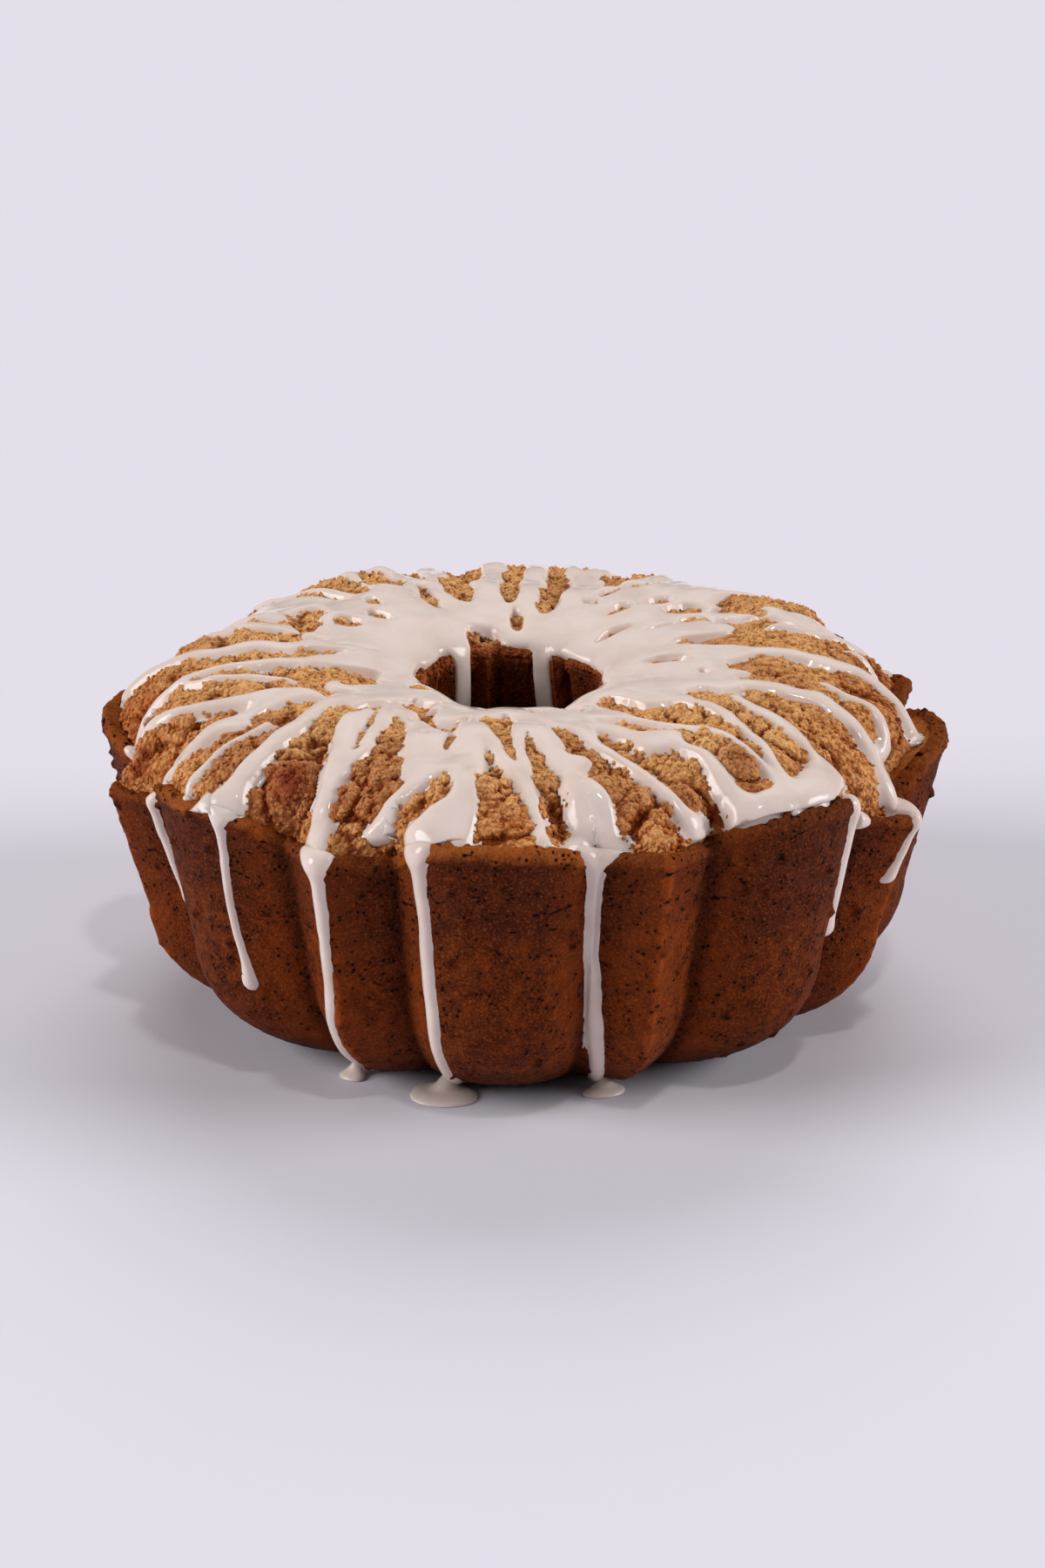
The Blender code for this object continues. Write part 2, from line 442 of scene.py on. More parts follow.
    # Pores: the deep ones are shaped, and finer ones and flat tears lie between them; all are painted near
    # black, which is painted shade inside them.
    pit = add(tree, "ShaderNodeMapRange", pits, 0.16, 0.34, 1.0, 0.0)
    some = add(tree, "ShaderNodeMapRange", mottle, 0.47, 0.56, 0.0, 1.0)
    pit = add(tree, "ShaderNodeMath", pit, some, operation="MULTIPLY")
    tear = add(tree, "ShaderNodeMapRange", tears, 0.66, 0.71, 0.0, 1.0)
    few = add(tree, "ShaderNodeMath", upper, 0.8, 0.2, operation="MULTIPLY_ADD")
    tear = add(tree, "ShaderNodeMath", tear, few, operation="MULTIPLY")
    pit = add(tree, "ShaderNodeMath", pit, tear, operation="MAXIMUM")
    pit = add(tree, "ShaderNodeMath", pit, pore, operation="MAXIMUM")

    body = painted(
        tree, hex_colour("72310e"),
        (upper, "5a2610"), (tone, "431708"), (light, "a5551f"), (dark, "240b04"),
        (tip, "a84c19"), (lip, lip_colour), (inside, crumbly), (painted_flank_light, "a84c19"),
        (crease, "260d05"), (foot, "1e0803"), (pit, "190702"),
    )
    tree.links.new(body, shader.inputs["Base Color"])

    relief = add(tree, "ShaderNodeMath", pit, -1.4, grit, operation="MULTIPLY_ADD")
    relief = add(tree, "ShaderNodeMath", mottle, 1.5, relief, operation="MULTIPLY_ADD")
    bump = add(tree, "ShaderNodeBump", 0.8, 0.0006, named={"Height": relief})
    tree.links.new(bump, shader.inputs["Normal"])
    return material


def crumb():
    """Golden baked crumb: dry and matte, with painted shade, darker and redder, down in the cracks and
    between the grains, and painted light on the grains' tops, the proud bits and the crest.
    """
    material, tree, shader = new_finish("golden_baked_crumb", 0.75)
    shader.inputs["Specular IOR Level"].default_value = 0.15
    place = add(tree, "ShaderNodeTexCoord", out=3)
    height = add(tree, "ShaderNodeSeparateXYZ", place, out=2)
    crevice, fruit = (
        add(tree, "ShaderNodeAttribute", attribute_name=name, out=2) for name in ("crevice", "fruit")
    )
    # Scales are bumps per metre: patches of 17 mm (60), speckle of 1.5 mm (650), bits of 1.3 mm (780).
    patches = add(tree, "ShaderNodeTexNoise", place, named={"Scale": 60.0, "Detail": 3.0})
    speckle = add(tree, "ShaderNodeTexNoise", place, named={"Scale": 650.0, "Detail": 3.0})
    bits = add(tree, "ShaderNodeTexVoronoi", place, named={"Scale": 780.0, "Randomness": 1.0})
    tone, pale, painted_light_on_proud_bits, between, painted_highlight_on_grain_tops, crown, fine, deep = (
        add(tree, "ShaderNodeMapRange", value, *limits)
        for value, *limits in (
            (patches, 0.35, 0.65, 0.0, 1.0),
            (speckle, 0.50, 0.36, 0.0, 0.5),
            # painted light: lighter on bits that stand proud
            (crevice, 0.0, -0.8, 0.0, 0.7),
            # painted shade: darker in the gaps between the grains
            (bits, 0.50, 0.90, 0.0, 0.5),
            # painted highlight: lighter on the middle of each grain
            (bits, 0.36, 0.10, 0.0, 0.5),
            # painted light: paler towards the dome's crest, where light falls from above
            (height, 0.091, 0.102, 0.0, 0.5),
            (speckle, 0.55, 0.72, 0.0, 0.7),
            # painted shade: darker and redder down in the crevices
            (crevice, 0.0, 0.8, 0.0, 0.9),
        )
    )
    body = painted(
        tree, hex_colour("e9a05c"),
        (tone, "c26a2c"), (pale, "f4b36c"), (painted_light_on_proud_bits, "f3b074"), (between, "a5541c"), (painted_highlight_on_grain_tops, "f6ba78"),
        (crown, "fbcb88"), (fine, "8a4416"), (deep, "86380f"), (fruit, "94361a"),
    )
    tree.links.new(body, shader.inputs["Base Color"])
    relief = add(tree, "ShaderNodeMath", bits, -1.0, speckle, operation="MULTIPLY_ADD")
    bump = add(tree, "ShaderNodeBump", 0.9, 0.0011, named={"Height": relief})
    tree.links.new(bump, shader.inputs["Normal"])
    return material


def vanilla_glaze():
    """Set icing-sugar glaze: smooth and glossy, with light passing through its thin edges."""
    material, tree, shader = new_finish("vanilla_sugar_glaze", 0.18)
    place = add(tree, "ShaderNodeTexCoord", out=3)
    # Scales are bumps per metre: clouds of 11 mm (90) and ripples of 3.8 mm (260).
    cloud = add(tree, "ShaderNodeTexNoise", place, named={"Scale": 90.0, "Detail": 2.0})
    ripple = add(tree, "ShaderNodeTexNoise", place, named={"Scale": 260.0, "Detail": 2.0})
    thin = add(tree, "ShaderNodeMapRange", cloud, 0.40, 0.68, 0.0, 0.75)
    body = painted(tree, hex_colour("eeddd4"), (thin, "e5cfc3"))
    tree.links.new(body, shader.inputs["Base Color"])
    dry = add(tree, "ShaderNodeMapRange", ripple, 0.35, 0.65, 0.08, 0.20)
    tree.links.new(dry, shader.inputs["Roughness"])
    bump = add(tree, "ShaderNodeBump", 0.28, 0.0006, named={"Height": ripple})
    tree.links.new(bump, shader.inputs["Normal"])
    shader.inputs["Subsurface Weight"].default_value = 0.25
    shader.inputs["Subsurface Radius"].default_value = (1.0, 0.6, 0.45)
    shader.inputs["Subsurface Scale"].default_value = 0.0015
    shader.inputs["IOR"].default_value = 1.45
    return material


# The moulded crust, made by Geometry Nodes


def fluted_ring_tree():
    """Lofts a crown section and a crease section round the cake in lobes and ridges.

    The guide mesh holds the crown section, the crease section and then the rim's paleness (x) and
    lift (z) around.
    """
    tree, given = new_tree("fluted_ring", {
        "Columns": ("Int", COLUMNS),
        "Rows": ("Int", 96),
        "Pairs": ("Float", float(PAIRS)),
        "Lobe width": ("Float", LOBE_WIDTH),
        "Ridge width": ("Float", RIDGE_WIDTH),
        "First lobe": ("Float", FIRST_LOBE),
        "Heel height": ("Float", HEEL_HEIGHT),
        "Lip height": ("Float", RIM_HEIGHT - BEAD_HEIGHT),
        "Rim height": ("Float", RIM_HEIGHT),
        "Grain depth": ("Float", 0.0007),
        "Pore depth": ("Float", 0.0014),
        "Edge wear": ("Float", 0.0006),
        "Inner row": ("Float", 88.0),
        "Material": ("Material", None),
    })

    # A plain torus of the right count, whose point numbers tell the column and the row.
    around = add(tree, "GeometryNodeCurvePrimitiveCircle", named={"Resolution": given["Columns"]})
    ring = add(tree, "GeometryNodeCurvePrimitiveCircle", named={"Resolution": given["Rows"], "Radius": 0.1})
    torus = add(tree, "GeometryNodeCurveToMesh", around, ring)
    index = add(tree, "GeometryNodeInputIndex")
    column = add(tree, "ShaderNodeMath", index, given["Rows"], operation="DIVIDE")
    column = add(tree, "ShaderNodeMath", column, operation="FLOOR")
    row = add(tree, "ShaderNodeMath", index, given["Rows"], operation="MODULO")

    # The two sections and the rim's lift, read from the guide.
    guide = add(tree, "GeometryNodeInputPosition")
    crease_row = add(tree, "ShaderNodeMath", row, given["Rows"], operation="ADD")
    rim_row = add(tree, "ShaderNodeMath", given["Rows"], 2.0, column, operation="MULTIPLY_ADD")
    crown, crease, lift = (
        add(
            tree, "GeometryNodeSampleIndex", data_type="FLOAT_VECTOR",
            named={"Geometry": given["Geometry"], "Value": guide, "Index": number},
        )
        for number in (row, crease_row, rim_row)
    )

    # Where this column lies across its lobe or ridge.
    degrees = add(tree, "ShaderNodeMath", column, given["Columns"], operation="DIVIDE")
    degrees = add(tree, "ShaderNodeMath", degrees, 360.0, operation="MULTIPLY")
    half_lobe = add(tree, "ShaderNodeMath", given["Lobe width"], 0.5, operation="MULTIPLY")
    half_ridge = add(tree, "ShaderNodeMath", given["Ridge width"], 0.5, operation="MULTIPLY")
    within = add(tree, "ShaderNodeMath", degrees, given["First lobe"], operation="SUBTRACT")
    within = add(tree, "ShaderNodeMath", within, half_lobe, operation="ADD")
    pair_turn = add(tree, "ShaderNodeMath", 360.0, given["Pairs"], operation="DIVIDE")
    within = add(tree, "ShaderNodeMath", within, pair_turn, operation="FLOORED_MODULO")
    on_ridge = add(tree, "ShaderNodeMath", within, given["Lobe width"], operation="GREATER_THAN")
    past_lobe = add(tree, "ShaderNodeMath", within, given["Lobe width"], operation="SUBTRACT")
    shares = []
    for along, half, curve in ((within, half_lobe, LOBE_CURVE), (past_lobe, half_ridge, RIDGE_CURVE)):
        place = add(tree, "ShaderNodeMath", along, half, operation="DIVIDE")
        place = add(tree, "ShaderNodeMath", place, 1.0, operation="SUBTRACT")
        place = add(tree, "ShaderNodeMath", place, operation="ABSOLUTE")
        shares.append(add(tree, "ShaderNodeMath", place, curve, operation="POWER"))
    flute = add(
        tree, "ShaderNodeMix", data_type="FLOAT",
        named={"Factor": on_ridge, "A": shares[0], "B": shares[1]},
    )

    # The section at this column, lifted to its own rim and turned to its place.
    section = add(
        tree, "ShaderNodeMix", data_type="VECTOR", out=1,
        named={0: flute, 4: crown, 5: crease},
    )
    radius = add(tree, "ShaderNodeSeparateXYZ", section)
    height = add(tree, "ShaderNodeSeparateXYZ", section, out=2)
    level = height
    rise = add(tree, "ShaderNodeMapRange", height, given["Heel height"], RIM_HEIGHT, 0.0, 1.0)
    rim = add(tree, "ShaderNodeSeparateXYZ", lift, out=2)
    height = add(tree, "ShaderNodeMath", rise, rim, height, operation="MULTIPLY_ADD")
    turn = add(tree, "ShaderNodeMath", degrees, operation="RADIANS")
    sine = add(tree, "ShaderNodeMath", turn, operation="SINE")
    cosine = add(tree, "ShaderNodeMath", turn, operation="COSINE")
    backward = add(tree, "ShaderNodeMath", radius, -1.0, operation="MULTIPLY")
    across = add(tree, "ShaderNodeMath", radius, sine, operation="MULTIPLY")
    along = add(tree, "ShaderNodeMath", backward, cosine, operation="MULTIPLY")
    place = add(tree, "ShaderNodeCombineXYZ", across, along, height)
    formed = add(tree, "GeometryNodeSetPosition", torus, None, place)
    for name, value in (("flute", flute), ("ridge", on_ridge), ("level", level)):
        formed = add(
            tree, "GeometryNodeStoreNamedAttribute", formed, data_type="FLOAT", domain="POINT",
            named={"Name": name, "Value": value},
        )
    level, flute, on_ridge = (
        add(tree, "GeometryNodeInputNamedAttribute", name, data_type="FLOAT")
        for name in ("level", "flute", "ridge")
    )

    # Fine relief: grain of 2.2 mm (a scale of 450 bumps per metre), scattered pores in cells of
    # 4.8 mm (210), and bites of 3.8 mm (260) out of the sharp ridges.
    spot = add(tree, "GeometryNodeInputPosition")
    out_of_it = add(tree, "GeometryNodeInputNormal")
    grain = add(tree, "ShaderNodeTexNoise", spot, named={"Scale": 450.0, "Detail": 1.0})
    grain = add(tree, "ShaderNodeMath", grain, 0.5, operation="SUBTRACT")
    at_lip = add(tree, "ShaderNodeMapRange", level, given["Lip height"], given["Rim height"], 0.0, 1.0)
    upper = add(tree, "ShaderNodeMapRange", level, 0.050, 0.062, 0.0, 1.0)
    coarse = add(tree, "ShaderNodeMath", upper, 0.7, 0.6, operation="MULTIPLY_ADD")
    coarse = add(tree, "ShaderNodeMath", at_lip, 2.2, coarse, operation="MULTIPLY_ADD")
    grain = add(tree, "ShaderNodeMath", grain, coarse, operation="MULTIPLY")
    grain = add(tree, "ShaderNodeMath", grain, given["Grain depth"], operation="MULTIPLY")
    cells = add(tree, "ShaderNodeTexVoronoi", spot, named={"Scale": 210.0})
    few = add(tree, "ShaderNodeTexVoronoi", spot, named={"Scale": 210.0}, out=1)
    few = add(tree, "ShaderNodeSeparateXYZ", few)
    fewer = add(tree, "ShaderNodeMath", upper, -0.10, 0.90, operation="MULTIPLY_ADD")
    few = add(tree, "ShaderNodeMath", few, fewer, operation="GREATER_THAN")
    pore = add(tree, "ShaderNodeMapRange", cells, 0.10, 0.42, 1.0, 0.0, interpolation_type="SMOOTHSTEP")
    pore = add(tree, "ShaderNodeMath", pore, few, operation="MULTIPLY")
    sink = add(tree, "ShaderNodeMath", pore, given["Pore depth"], operation="MULTIPLY")
    bites = add(tree, "ShaderNodeTexNoise", spot, named={"Scale": 260.0, "Detail": 2.0})
    bites = add(tree, "ShaderNodeMapRange", bites, 0.42, 0.66, 0.0, 1.0)
    tip = add(tree, "ShaderNodeMapRange", flute, 0.0, 0.28, 1.0, 0.0)
    tip = add(tree, "ShaderNodeMath", tip, on_ridge, operation="MULTIPLY")
    bites = add(tree, "ShaderNodeMath", bites, tip, operation="MULTIPLY")
    bites = add(tree, "ShaderNodeMath", bites, given["Edge wear"], operation="MULTIPLY")
    lowered = add(tree, "ShaderNodeMath", sink, bites, operation="ADD")
    push = add(tree, "ShaderNodeMath", grain, lowered, operation="SUBTRACT")
    firm = add(tree, "ShaderNodeMath", tip, -0.5, 1.0, operation="MULTIPLY_ADD")
    push = add(tree, "ShaderNodeMath", push, firm, operation="MULTIPLY")
    above = add(tree, "ShaderNodeMapRange", level, 0.0005, 0.003, 0.0, 1.0)
    push = add(tree, "ShaderNodeMath", push, above, operation="MULTIPLY")
    push = add(tree, "ShaderNodeVectorMath", out_of_it, operation="SCALE", named={"Scale": push})
    rough = add(tree, "GeometryNodeSetPosition", formed, None, None, push)
    pale = add(tree, "ShaderNodeSeparateXYZ", lift)
    inside = add(tree, "ShaderNodeMath", row, given["Inner row"], operation="GREATER_THAN")
    for name, value in (("pore", pore), ("lip", at_lip), ("pale", pale), ("inside", inside)):
        rough = add(
            tree, "GeometryNodeStoreNamedAttribute", rough, data_type="FLOAT", domain="POINT",
            named={"Name": name, "Value": value},
        )
    smooth = add(tree, "GeometryNodeSetShadeSmooth", rough)
    whole = add(tree, "GeometryNodeRealizeInstances", smooth)
    done = add(tree, "GeometryNodeSetMaterial", whole, named={"Material": given["Material"]})
    tree.links.new(done, tree.nodes.new("NodeGroupOutput").inputs[0])
    return tree


def rim_paleness(columns):
    """How pale the rim is in each column: most on the front lobe, least on the one to its right."""
    pair, on_ridge, _ = flute_place(np.arange(columns) * 360 / columns)
    pale = np.where(on_ridge, RIDGE_PALENESS, np.array(RIM_PALENESS)[pair])
    return blurred(pale[:, None], 6, 1)[:, 0]


def rim_lift(columns):
    """How far the rim stands above its mean height in each column, a little ragged."""
    degrees = np.arange(columns) * 360 / columns
    line = turned(RIM_RADIUS, 0.0, degrees)
    ragged = noise(line, 5 * MM, 71) + 0.6 * noise(line, 2 * MM, 72)
    return rim_height(degrees) - RIM_HEIGHT + 0.45 * MM * ragged


def fluted_ring(name, tree, section, lift, pale, values):
    """One closed ring of crust, from its crown and crease sections and each column's lift and paleness."""
    crown, crease = section(0.0), section(1.0)
    columns = len(lift)
    guide = np.zeros((2 * len(crown) + columns, 3))
    guide[: len(crown), 0::2] = crown
    guide[len(crown) : 2 * len(crown), 0::2] = crease
    guide[2 * len(crown) :, 0] = pale
    guide[2 * len(crown) :, 2] = lift
    mesh = bpy.data.meshes.new(name)
    mesh.from_pydata(guide.tolist(), [], [])
    return shaped(new_object(name, mesh), tree, {"Columns": columns, "Rows": len(crown), **values})


# The baked dome

DOME_COLUMNS = 1200
OUTER_ROWS = 76
INNER_ROWS = 70
QUARTER = math.pi / 2
FOOT_DROP = 0.0030
FOOT_WANDER = 0.0012
PLAIN_FOOT = RIM_RADIUS - LIP_WIDTH - FLUTE_DEPTH / 2
WIDE_SHELVES = ((85.0, 26.0, 0.0065), (-96.0, 15.0, 0.0020))
HOLE_LEAN = (-0.0028, -0.0016)
FRONT_EDGE_DROP = 0.0058
CHUNKS = (
    # azimuth, radius mm, width mm, lift mm, redness
    (-37, 104, 15, 2.0, 0.9),
    (-28, 106, 13, 1.4, 0.5),
    (13, 102, 22, 2.4, 0.35),
    (-4, 106, 24, 1.6, 0.0),
    (24, 105, 13, 1.6, 0.5),
    (36, 100, 12, 1.2, 0.6),
    (-10, 84, 14, 1.2, 0.0),
    (52, 98, 20, 1.6, 0.0),
    (-62, 100, 18, 1.6, 0.1),
    (140, 100, 18, 2.0, 0.4),
    (-150, 98, 20, 1.8, 0.5),
    (-100, 96, 16, 1.6, 0.2),
    (100, 99, 17, 1.6, 0.4),
    (50, 34, 25, 2.4, 0.0),
    (-52, 34, 22, 1.8, 0.0),
)


def even_turns(rows, first, second):
    """Turns from 0 to a quarter that lie evenly along a quarter ellipse of these two half axes."""
    fine = np.linspace(0, QUARTER, 400)
    steps = np.hypot(np.diff(first * np.cos(fine)), np.diff(second * np.sin(fine)))
    length = np.concatenate([[0], np.cumsum(steps)])
    return np.interp(np.linspace(0, length[-1], rows, endpoint=False), length, fine)


def foot_radius(degrees):
    """Where the dome rises from the crust: just behind the lip, and further in on the right."""
    shelf = LIP_WIDTH
    for middle, spread, extra in WIDE_SHELVES:
        shelf = shelf + extra * np.exp(-((turn_from(degrees, middle) / spread) ** 2))
    line = turned(RIM_RADIUS, 0.0, degrees)
    shelf = shelf + FOOT_WANDER * noise(line, 15 * MM, 74)
    return RIM_RADIUS - FLUTE_DEPTH * flute_share(degrees) - shelf


def lean_hole(points):
    """Moves the hole a little to the front and left on its way up, and lowers its front edge."""
    radius = np.hypot(points[..., 0], points[..., 1])
    near = np.clip((CREST_RADIUS - radius) / (CREST_RADIUS - HOLE_RADIUS), 0, 1)
    high = np.clip(points[..., 2] / HOLE_EDGE_HEIGHT, 0, 1) ** 2
    front = 0.5 - 0.5 * points[..., 1] / np.maximum(radius, 1e-9)
    leant = points.copy()
    leant[..., 0] += HOLE_LEAN[0] * near * high
    leant[..., 1] += HOLE_LEAN[1] * near * high
    leant[..., 2] -= FRONT_EDGE_DROP * front**3 * near * high
    return leant


def outer_dome(degrees, turn):
    """The dome's smooth outside, from its foot behind the lip (turn 0) up to its crest."""
    out = np.cos(turn)
    foot = foot_radius(degrees)
    radius = eased(CREST_RADIUS, PLAIN_FOOT, out) + (foot - PLAIN_FOOT) * out**6
    return radius, eased(rim_height(degrees) - FOOT_DROP, CREST_HEIGHT, np.sin(turn))


def inner_dome(degrees, turn):
    """The dome's smooth inside, from its crest (turn 0) down to the edge of the hole."""
    edge = HOLE_RADIUS + HOLE_FLUTE_DEPTH * flute_share(degrees)
    radius = eased(CREST_RADIUS, edge, np.sin(turn))
    return radius, eased(HOLE_EDGE_HEIGHT, CREST_HEIGHT, np.cos(turn))


def normals(grid):
    """Outward normals of a grid of points, whose columns go round the cake and rows up and over it."""
    across = np.roll(grid, -1, axis=0) - np.roll(grid, 1, axis=0)
    normal = np.cross(across, np.gradient(grid, axis=1))
    return normal / np.maximum(np.linalg.norm(normal, axis=-1, keepdims=True), 1e-12)


def swells(points):
    """The dome's broad lumps and the chunks of fruit under its crumb, in mm, and how red it is there."""
    flat = points * [1, 1, 0.6]
    lift = 2.2 * noise(flat, 26 * MM, 11) + 1.5 * noise(flat, 14 * MM, 12)
    red = 0.35 * np.clip(noise(flat, 19 * MM, 19) * 2.2 - 0.5, 0, 1)
    for azimuth, away, width, height, redness in CHUNKS:
        middle = turned(away * MM, 0.0, azimuth)
        gap = np.hypot(points[..., 0] - middle[0], points[..., 1] - middle[1]) / (width / 2 * MM)
        near = gap < 1.6
        gap = gap[near] * (1 + 0.2 * noise(flat[near], 7 * MM, 17))
        crack = np.exp(-(((gap - 1.06) / 0.12) ** 2))
        lift[near] += height * np.clip(1 - gap**2, 0, 1) ** 0.5 - 1.2 * crack
        red[near] = np.maximum(red[near], redness * np.clip(1.3 - gap, 0, 1))
    return lift, red


def pebbles(points, size, seed, roundness=1.0):
    """Close-packed round grains, 1 at the middle of each and 0 between them."""
    return np.clip(1 - (1.35 * grains(points, size, seed)) ** 2, 0, 1) ** roundness


def crumble(points):
    """The dome's clumps of crumb and their grains, in mm."""
    warp = np.stack([noise(points, 5 * MM, 31 + axis) for axis in range(3)], axis=-1)
    points = points + 1.6 * MM * warp
    rough = np.clip(0.75 + 0.8 * noise(points, 24 * MM, 14), 0.25, 1.15)
    clumps = 2.0 * pebbles(points, 10 * MM, 15, 0.6)
    knobs = 1.15 * pebbles(points, 4.2 * MM, 16, 0.8)
    bits = 0.95 * pebbles(points, 2.1 * MM, 18)
    return clumps + (knobs + bits) * rough - 2.3


def firmness(reach):
    """How far the relief is let go: little where the dome meets the crust and the hole."""
    return np.clip((FOOT_REACH - reach) / 5, 0.3, 1) * np.clip((reach - HOLE_REACH) / 6, 0.15, 1)


def dome_grid(columns, outer_rows, inner_rows):
    """Azimuths, smooth points and reach (mm from the hole's middle, measured along the skin)."""
    degrees = (np.arange(columns) * 360 / columns)[:, None]
    outer = even_turns(outer_rows, PLAIN_FOOT - CREST_RADIUS, CREST_HEIGHT - RIM_HEIGHT + FOOT_DROP)
    inner = even_turns(inner_rows, CREST_HEIGHT - HOLE_EDGE_HEIGHT, CREST_RADIUS - HOLE_RADIUS)
    radius, height = outer_dome(degrees, outer[None])
    inner_radius, inner_height = inner_dome(degrees, inner[None])
    inner_height = np.broadcast_to(inner_height, inner_radius.shape)
    points = turned(np.hstack([radius, inner_radius]), np.hstack([height, inner_height]), degrees)
    points = lean_hole(points)
    reach = np.concatenate(
        [np.linspace(FOOT_REACH, CREST_REACH, outer_rows, endpoint=False),
         np.linspace(CREST_REACH, HOLE_REACH, inner_rows, endpoint=False)]
    )
    return degrees, points, reach


def crumb_dome(material):
    """The dome as two closed bands, which meet at the crest, with its relief on their outside."""
    degrees, smooth, reach = dome_grid(DOME_COLUMNS, OUTER_ROWS, INNER_ROWS)
    outward = normals(smooth)
    lift, red = swells(smooth)
    loose = firmness(reach)
    relief = (lift + crumble(smooth)) * loose
    # The crevice value drives painted shade in the hollows and painted light where the relief stands proud.
    hollow = blurred(relief, 3, 2) - relief
    deep = blurred(relief, 9, 7) - relief
    crevice = np.clip(hollow / 0.6, -1, 1) * 0.7 + np.clip(deep / 1.8, -0.3, 1) * 0.7
    # The crumb is also painted darker towards the hole's edge, through the same painted crevice shade.
    crevice = crevice + np.clip((31 - reach) / 4, 0, 1)
    bare = np.clip(0.6 - glaze_field(degrees, reach[None], smooth)[0], 0, 0.1) * 10
    skin = smooth + outward * relief[..., None] * MM
    bands = []
    for name, rows, core in (
        ("crumb_top_outer", slice(0, OUTER_ROWS + 1), ((0.070, 0.090), (0.100, 0.070))),
        ("crumb_top_inner", slice(OUTER_ROWS - 1, None), ((0.0272, 0.0885), (0.031, 0.083), (0.066, 0.088))),
    ):
        inside = lean_hole(turned(*np.array(core).T[:, None, :], degrees))
        sunk = skin[:, rows].copy()
        if rows.start:
            sunk[:, 0] -= 0.0006 * outward[:, rows.start]
        points = np.concatenate([sunk, inside], axis=1)
        hidden = np.zeros((DOME_COLUMNS, len(core)))
        bands.append(
            mesh_object(
                name, points.reshape(-1, 3), ring_faces(*points.shape[:2]), material,
                crevice=np.concatenate([np.clip(crevice[:, rows], -1, 1), hidden + 1], axis=1),
                fruit=np.concatenate([np.clip(red[:, rows], 0, 1), hidden], axis=1),
                bare=np.concatenate([bare[:, rows], hidden], axis=1),
            )
        )
    return bands


# The glaze

HOLE_RUNS = (
    # azimuth, reach where it ends, half width in mm
    (-143, 7, 3.0),
    (162, 4, 2.5),
    (60, 15, 1.4),
    (-40, 17, 1.6),
)
GLAZE_COLUMNS = 1080
GLAZE_DEPTH = 1.1
GLAZE_TRIANGLES = 185000
DRIP_START = 116
FOOT_FILL = 0.0006
STRANDS = (
    # azimuth at the start, middle and end, reach at both ends, half width in mm
    (-95, -93.0, -96.0, 50, 113, 2.8),
    (-84, -82.5, -82.0, 45, 121, 1.9),
    (-62, -68.0, -76.0, 72, 106, 1.8),
    (-70, -74.0, -80.0, 66, 92, 1.5),
    (-57, -60.0, -57.5, 60, 116, 3.1),
    (-56, -61.0, -64.0, 90, 115, 1.7),
    (-53, -50.0, -49.0, 86, 120, 1.4),
    (-58, -45.5, -43.0, 52, 119, 2.5),
    (-48, -33.5, -28.0, 56, 118, 2.9),
    (-42, -31.5, -30.0, 56, 92, 1.6),
    (-38, -23.0, -16.0, 52, 88, 3.2),
    (-15, -17.0, -20.5, 86, 107, 3.3),
    (-14, -9.5, -8.2, 62, 114, 2.4),
    (-10.5, -1.0, 3.2, 66, 114, 1.35),
    (-1.5, 0.0, 1.6, 66, 97, 1.3),
    (-1, 7.5, 11.0, 54, 116, 3.0),
    (8, 18.5, 25.0, 58, 111, 1.8),
    (14, 21.0, 27.0, 55, 79, 3.2),
    (27, 31.5, 31.0, 77, 112, 2.0),
    (30, 38.5, 37.5, 58, 117, 1.4),
    (51, 45.5, 40.0, 62, 105, 1.7),
    (54, 55.0, 43.0, 60, 115, 2.1),
    (63, 71.0, 65.0, 58, 110, 2.7),
    (75, 80.0, 74.0, 56, 107, 2.4),
    (92, 93.0, 84.0, 54, 111, 3.0),
    (106, 104.0, 101.0, 50, 112, 2.7),
)
DRIPS = (
    # azimuth at the rim, halfway and at the end, reach where it ends, half width in mm, drop
    (-41.8, -43.4, -42.6, 176, 1.30, 1.6),
    (-26.6, -27.8, -31.5, 222, 1.90, 1.0),
    (-13.5, -12.9, -12.0, 222, 1.85, 1.0),
    (10.0, 10.8, 15.0, 222, 1.75, 1.0),
    (49.0, 49.6, 51.8, 164, 1.75, 1.4),
    (64.2, 63.3, 62.0, 148, 1.55, 1.3),
    (-64.9, -65.0, -64.0, 164, 1.05, 1.7),
    (112.0, 113.0, 113.5, 158, 1.40, 1.5),
    (139.0, 138.5, 137.5, 181, 1.50, 1.5),
    (171.0, 172.0, 172.5, 222, 1.70, 1.0),
    (-160.0, -160.6, -161.0, 150, 1.30, 1.6),
    (-127.0, -126.5, -126.0, 222, 1.80, 1.0),
    (-104.0, -103.4, -103.0, 160, 1.40, 1.5),
)
FEEDERS = (
    # strands that run over the dome into the drips behind, in the same terms
    (109, 111.0, 112.0, 62, 119, 2.0),
    (135, 138.0, 139.0, 62, 119, 2.1),
    (177, 176.0, 171.0, 72, 119, 2.3),
    (-165, -162.0, -160.0, 66, 119, 2.0),
    (-131, -128.0, -127.0, 62, 119, 2.4),
    (-107, -105.0, -104.0, 62, 119, 2.0),
)
